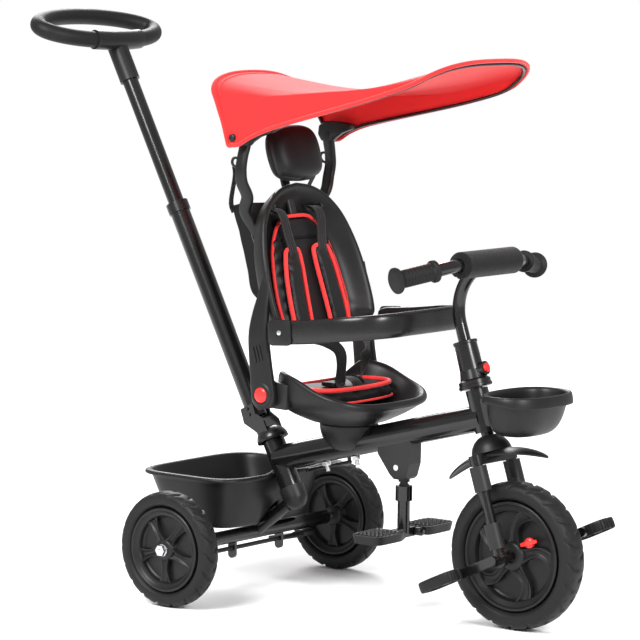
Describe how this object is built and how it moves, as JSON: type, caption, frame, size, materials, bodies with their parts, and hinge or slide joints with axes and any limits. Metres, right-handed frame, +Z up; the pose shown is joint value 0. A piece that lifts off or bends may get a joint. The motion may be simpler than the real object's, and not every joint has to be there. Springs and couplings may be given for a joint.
{
  "type": "push tricycle",
  "caption": "Children's tricycle with a parent push handle, swivel reclining seat, guard rail, folding canopy, footrest and two storage baskets.",
  "frame": {"origin": "point on the ground midway between the two rear wheels", "axes": "+X forward, +Y to the rider's left, +Z up; the ground is at z = 0"},
  "size_m": [1.1544, 0.536, 1.036],
  "materials": {
    "painted_steel": "semi-gloss black paint",
    "zinc_steel": "zinc plated",
    "black_plastic": "moulded satin black",
    "red_plastic": "moulded gloss red",
    "tyre_rubber": "matte",
    "grip_rubber": "matte",
    "foam": "closed-cell foam",
    "leatherette": "padded leatherette",
    "red_fabric": "woven polyester",
    "black_fabric": "woven polyester"
  },
  "bodies": {
    "frame": {"main_tube": "painted_steel", "head_tube": "painted_steel", "rear_post": "painted_steel", "post_foot": "black_plastic", "axle_beam": "painted_steel", "rear_axle": "zinc_steel", "seat_cup": "black_plastic", "footrest_housing": "black_plastic", "frame_fasteners": "zinc_steel", "rear_basket": "black_plastic", "front_basket": "black_plastic"},
    "steering": {"fork": "painted_steel", "fork_covers": "black_plastic", "fender": "black_plastic", "headset_bearings": "zinc_steel", "stem": "painted_steel", "handlebar": "painted_steel", "foam_sleeve": "foam", "grips": "grip_rubber", "stem_collar": "black_plastic"},
    "stem_release": {"stem_button": "red_plastic"},
    "front_wheel": {"front_rim": "black_plastic", "front_tyre": "tyre_rubber", "front_bushes": "black_plastic"},
    "clutch": {"clutch_knob": "red_plastic"},
    "cranks": {"crank": "painted_steel"},
    "pedal_left": {"left_pedal": "black_plastic"},
    "pedal_right": {"right_pedal": "black_plastic"},
    "rear_wheel_left": {"left_rear_rim": "black_plastic", "left_rear_tyre": "tyre_rubber"},
    "rear_wheel_right": {"right_rear_rim": "black_plastic", "right_rear_tyre": "tyre_rubber"},
    "brake": {"brake_pedals": "red_plastic"},
    "push_handle": {"handle_shaft": "painted_steel", "post_cap": "black_plastic", "lower_handle_tube": "painted_steel", "handle_collar": "black_plastic"},
    "push_handle_upper": {"upper_handle_tube": "painted_steel", "push_grip": "grip_rubber", "grip_tee": "black_plastic"},
    "steering_link": {"steering_rod": "painted_steel"},
    "seat": {"swivel_plate": "black_plastic", "seat_pan": "black_plastic", "seat_pad": "leatherette"},
    "backrest": {"backrest_shell": "black_plastic", "back_pad": "leatherette", "shoulder_pads": "leatherette", "canopy_posts": "black_plastic", "rear_hoop": "painted_steel", "storage_bag": "black_fabric"},
    "recline_button_left": {"left_recline_button": "red_plastic"},
    "recline_button_right": {"right_recline_button": "red_plastic"},
    "rail": {"guard_rail": "black_plastic"},
    "headrest_slide": {"headrest": "leatherette", "headrest_stem": "black_plastic"},
    "canopy_front": {"front_hoop": "painted_steel", "canopy": "red_fabric"},
    "footrest": {"footrest_post": "painted_steel"},
    "foot_plate_left": {"left_foot_plate": "black_plastic"},
    "foot_plate_right": {"right_foot_plate": "black_plastic"}
  },
  "joints": [
    {"name": "steer", "type": "hinge", "parent": "frame", "child": "steering", "pos_m": [0.57, 0, 0.127], "axis": [-0.309, 0, 0.9511], "range_deg": [-40, 40]},
    {"name": "stem_button_press", "type": "slide", "parent": "steering", "child": "stem_release", "axis": [-0.9511, 0, -0.309], "range_m": [0, 0.003], "stiffness_N_per_m": 400},
    {"name": "front_wheel_spin", "type": "hinge", "parent": "steering", "child": "front_wheel", "pos_m": [0.57, 0, 0.127], "axis": [0, 1, 0], "continuous": true},
    {"name": "clutch_pull", "type": "slide", "parent": "front_wheel", "child": "clutch", "axis": [0, -1, 0], "range_m": [0, 0.006]},
    {"name": "crank_turn", "type": "hinge", "parent": "steering", "child": "cranks", "pos_m": [0.57, 0, 0.127], "axis": [0, 1, 0], "continuous": true},
    {"name": "left_pedal_spin", "type": "hinge", "parent": "cranks", "child": "pedal_left", "pos_m": [0.65575, 0.102, 0.1679], "axis": [0, 1, 0], "continuous": true},
    {"name": "right_pedal_spin", "type": "hinge", "parent": "cranks", "child": "pedal_right", "pos_m": [0.48425, -0.102, 0.0861], "axis": [0, 1, 0], "continuous": true},
    {"name": "left_rear_wheel_spin", "type": "hinge", "parent": "frame", "child": "rear_wheel_left", "pos_m": [0, 0.241, 0.102], "axis": [0, 1, 0], "continuous": true},
    {"name": "right_rear_wheel_spin", "type": "hinge", "parent": "frame", "child": "rear_wheel_right", "pos_m": [0, -0.241, 0.102], "axis": [0, 1, 0], "continuous": true},
    {"name": "brake_press", "type": "hinge", "parent": "frame", "child": "brake", "pos_m": [0, 0, 0.08], "axis": [0, -1, 0], "range_deg": [0, 12]},
    {"name": "handle_turn", "type": "hinge", "parent": "frame", "child": "push_handle", "pos_m": [0.052, 0, 0.245], "axis": [-0.4617, 0, 0.887], "range_deg": [-35, 35]},
    {"name": "handle_extend", "type": "slide", "parent": "push_handle", "child": "push_handle_upper", "axis": [-0.4617, 0, 0.887], "range_m": [-0.15, 0.04]},
    {"name": "rod_slide", "type": "slide", "parent": "frame", "child": "steering_link", "axis": [0.9677, 0, 0.2521], "range_m": [-0.0105, 0.0105]},
    {"name": "seat_swivel", "type": "hinge", "parent": "frame", "child": "seat", "pos_m": [0.208, 0, 0.318], "axis": [0, 0, 1], "continuous": true},
    {"name": "recline", "type": "hinge", "parent": "seat", "child": "backrest", "pos_m": [0.134, 0, 0.377], "axis": [0, -1, 0], "range_deg": [0, 12]},
    {"name": "left_recline_press", "type": "slide", "parent": "backrest", "child": "recline_button_left", "axis": [0, -1, 0], "range_m": [0, 0.0025], "stiffness_N_per_m": 400},
    {"name": "right_recline_press", "type": "slide", "parent": "backrest", "child": "recline_button_right", "axis": [0, 1, 0], "range_m": [0, 0.0025], "stiffness_N_per_m": 400},
    {"name": "rail_lift", "type": "hinge", "parent": "backrest", "child": "rail", "pos_m": [0.178, 0, 0.49], "axis": [0, -1, 0], "range_deg": [0, 80]},
    {"name": "headrest_raise", "type": "slide", "parent": "backrest", "child": "headrest_slide", "axis": [-0.3007, 0, 0.9537], "range_m": [0, 0.03]},
    {"name": "canopy_fold", "type": "hinge", "parent": "backrest", "child": "canopy_front", "pos_m": [0.052, 0, 0.82], "axis": [0, -1, 0], "range_deg": [0, 90], "deforming": ["canopy"]},
    {"name": "footrest_fold", "type": "hinge", "parent": "frame", "child": "footrest", "pos_m": [0.33, 0, 0.208], "axis": [0, 1, 0], "range_deg": [0, 75]},
    {"name": "left_plate_fold", "type": "hinge", "parent": "footrest", "child": "foot_plate_left", "pos_m": [0.33, 0.028, 0.138], "axis": [1, 0, 0], "range_deg": [0, 75]},
    {"name": "right_plate_fold", "type": "hinge", "parent": "footrest", "child": "foot_plate_right", "pos_m": [0.33, -0.028, 0.138], "axis": [-1, 0, 0], "range_deg": [0, 75]}
  ],
  "couplings": [
    {"joint": "steer", "follows": "handle_turn", "ratio": 1},
    {"joint": "rod_slide", "follows": "handle_turn", "m_per_rad": -0.0164},
    {"joint": "crank_turn", "follows": "front_wheel_spin", "ratio": 1}
  ]
}
